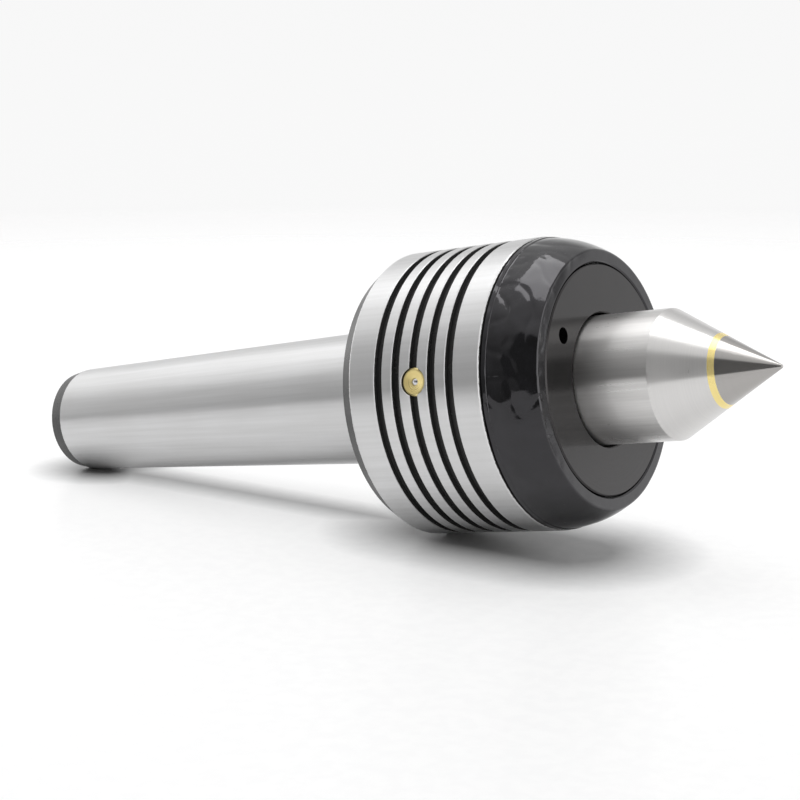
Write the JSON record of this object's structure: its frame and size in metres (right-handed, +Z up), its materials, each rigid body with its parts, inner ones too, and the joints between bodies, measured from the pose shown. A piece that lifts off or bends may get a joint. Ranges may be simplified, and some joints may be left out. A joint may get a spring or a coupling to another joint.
{
  "type": "live center",
  "caption": "Live center with a Morse taper shank, a grooved ground head, a black nose cap and a brazed carbide point.",
  "frame": {"origin": "centre of the gauge plane of the Morse No. 4 taper, on the centre line", "axes": "+X along the centre line towards the point, +Z up, the oiler on the -Y side"},
  "size_m": [0.1978, 0.064, 0.064],
  "materials": {
    "ground_steel": "satin",
    "gloss_black": "gloss",
    "black_oxide": "satin",
    "spindle_steel": "polished",
    "carbide": "satin",
    "brass": "satin",
    "bearing_steel": "polished",
    "cage_brass": "satin",
    "spring_steel": "satin",
    "seal_rubber": "matte"
  },
  "bodies": {
    "housing": {"housing": "ground_steel", "nose_cap": "gloss_black", "nose_o_ring": "seal_rubber", "retaining_nut": "black_oxide", "seal_case": "spring_steel", "seal_lip": "seal_rubber", "seal_garter_spring": "spring_steel", "front_outer_ring": "bearing_steel", "thrust_housing_washer": "bearing_steel", "needle_cup": "bearing_steel", "oiler_body": "brass", "oiler_spring": "spring_steel"},
    "spindle": {"spindle": "spindle_steel", "carbide_tip": "carbide", "braze_ring": "brass", "front_inner_ring": "bearing_steel", "snap_ring": "spring_steel", "spacer": "bearing_steel", "thrust_shaft_washer": "bearing_steel"},
    "front_cage": {"front_cage": "cage_brass", "front_balls": "bearing_steel"},
    "thrust_cage": {"thrust_cage": "cage_brass", "thrust_balls": "bearing_steel"},
    "needle_cage": {"needle_cage": "spring_steel", "needle_rollers": "bearing_steel"},
    "oiler_ball": {"oiler_ball": "bearing_steel"}
  },
  "joints": [
    {"name": "spindle_spin", "type": "hinge", "parent": "housing", "child": "spindle", "pos_m": [0, 0, 0], "axis": [1, 0, 0], "continuous": true},
    {"name": "front_cage_orbit", "type": "hinge", "parent": "housing", "child": "front_cage", "pos_m": [0.0389, 0, 0], "axis": [1, 0, 0], "continuous": true},
    {"name": "thrust_cage_orbit", "type": "hinge", "parent": "housing", "child": "thrust_cage", "pos_m": [0.0165, 0, 0], "axis": [1, 0, 0], "continuous": true},
    {"name": "needle_cage_orbit", "type": "hinge", "parent": "housing", "child": "needle_cage", "pos_m": [-0.001, 0, 0], "axis": [1, 0, 0], "continuous": true},
    {"name": "oiler_ball_press", "type": "slide", "parent": "housing", "child": "oiler_ball", "axis": [0, 0.9813, -0.1925], "range_m": [0, 0.0008], "stiffness_N_per_m": 300, "springref_m": -0.001, "deforming": ["oiler_spring"]}
  ],
  "couplings": [
    {"joint": "front_cage_orbit", "follows": "spindle_spin", "ratio": 0.4118},
    {"joint": "thrust_cage_orbit", "follows": "spindle_spin", "ratio": 0.5},
    {"joint": "needle_cage_orbit", "follows": "spindle_spin", "ratio": 0.4419}
  ]
}
